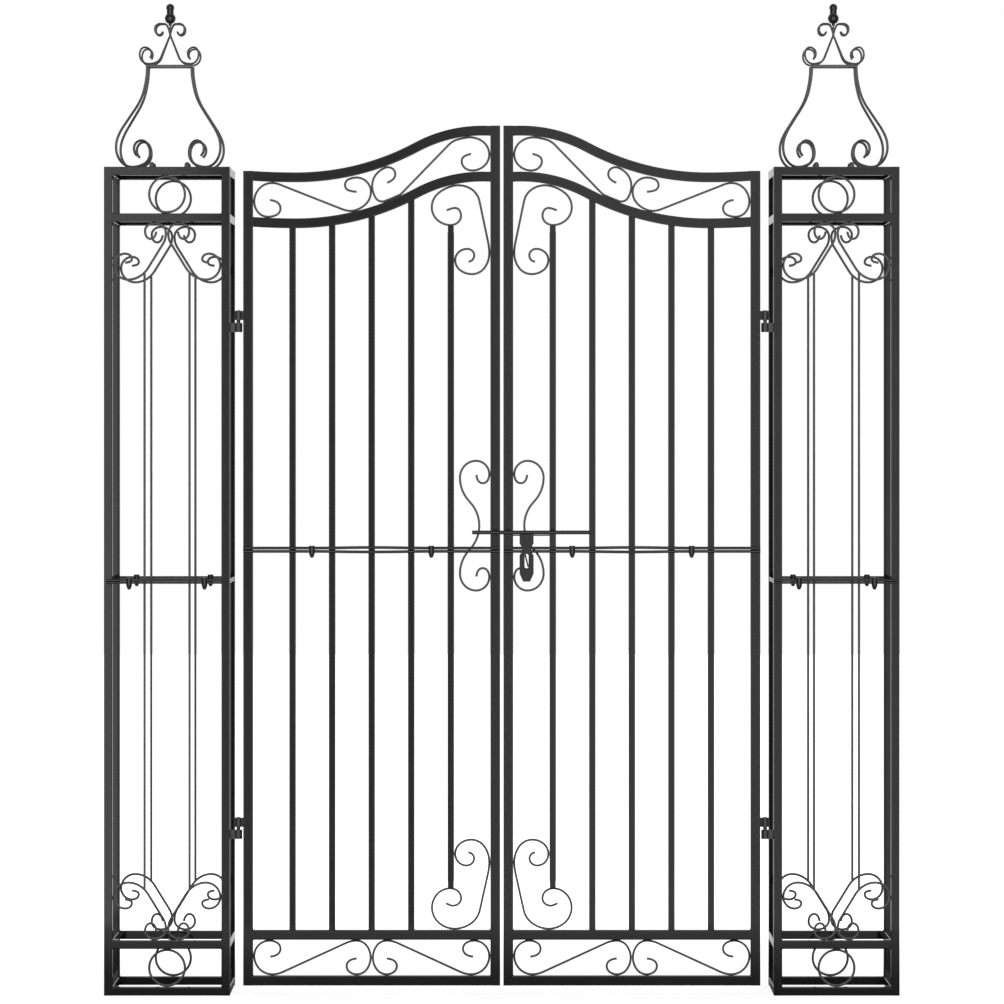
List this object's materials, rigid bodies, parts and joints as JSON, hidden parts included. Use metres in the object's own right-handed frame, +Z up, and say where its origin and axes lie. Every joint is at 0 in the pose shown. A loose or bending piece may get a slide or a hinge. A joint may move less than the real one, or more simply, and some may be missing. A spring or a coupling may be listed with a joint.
{
  "type": "wrought iron garden gate",
  "caption": "Double-leaf garden gate with ogee tops, upright bars and scrollwork, hung between square openwork pillars with scroll finials, closed by a slide bolt.",
  "frame": {"origin": "on the underside of the left pillar's front bottom rail, midway along that rail", "axes": "+X to the right along the gate, +Y from the front to the back, which is the way the leaves open, +Z up"},
  "size_m": [1.22, 0.208, 1.5274],
  "materials": {
    "tube_coat": "satin black powder coat on square steel tube",
    "wire_coat": "satin black powder coat on bent round steel wire",
    "fitting_coat": "satin black powder coat on hinges, bands, finial balls and bolt"
  },
  "bodies": {
    "pillars": {"left_pillar_front_frame": "tube_coat", "left_pillar_back_frame": "tube_coat", "left_pillar_side_rails": "tube_coat", "left_pillar_front_scrolls": "wire_coat", "left_pillar_back_scrolls": "wire_coat", "left_pillar_band": "fitting_coat", "left_pillar_hinges": "fitting_coat", "left_finial_base": "fitting_coat", "left_finial_legs": "wire_coat", "left_finial_ring": "wire_coat", "left_finial_crown": "wire_coat", "left_finial_knob": "fitting_coat", "right_pillar_front_frame": "tube_coat", "right_pillar_back_frame": "tube_coat", "right_pillar_side_rails": "tube_coat", "right_pillar_front_scrolls": "wire_coat", "right_pillar_back_scrolls": "wire_coat", "right_pillar_band": "fitting_coat", "right_pillar_hinges": "fitting_coat", "right_finial_base": "fitting_coat", "right_finial_legs": "wire_coat", "right_finial_ring": "wire_coat", "right_finial_crown": "wire_coat", "right_finial_knob": "fitting_coat"},
    "left_leaf": {"left_leaf_meeting_stile": "tube_coat", "left_leaf_hinge_stile": "tube_coat", "left_leaf_top_rails": "tube_coat", "left_leaf_bottom_rails": "tube_coat", "left_leaf_bars": "tube_coat", "left_leaf_top_scrolls": "wire_coat", "left_leaf_bottom_scrolls": "wire_coat", "left_leaf_edge_scrolls": "wire_coat", "left_leaf_band": "fitting_coat", "left_leaf_knuckles": "fitting_coat", "bolt_keeper": "fitting_coat"},
    "right_leaf": {"right_leaf_meeting_stile": "tube_coat", "right_leaf_hinge_stile": "tube_coat", "right_leaf_top_rails": "tube_coat", "right_leaf_bottom_rails": "tube_coat", "right_leaf_bars": "tube_coat", "right_leaf_top_scrolls": "wire_coat", "right_leaf_bottom_scrolls": "wire_coat", "right_leaf_edge_scrolls": "wire_coat", "right_leaf_band": "fitting_coat", "right_leaf_knuckles": "fitting_coat", "bolt_guides": "fitting_coat"},
    "bolt": {"sliding_bolt": "fitting_coat", "lock_hasp": "fitting_coat"}
  },
  "joints": [
    {"name": "left_hinge", "type": "hinge", "parent": "pillars", "child": "left_leaf", "pos_m": [0.1095, 0.001, 0.259], "axis": [0, 0, 1], "range_deg": [0, 90]},
    {"name": "right_hinge", "type": "hinge", "parent": "pillars", "child": "right_leaf", "pos_m": [0.9175, 0.001, 0.259], "axis": [0, 0, -1], "range_deg": [0, 90]},
    {"name": "bolt_slide", "type": "slide", "parent": "right_leaf", "child": "bolt", "axis": [1, 0, 0], "range_m": [0, 0.048]}
  ]
}
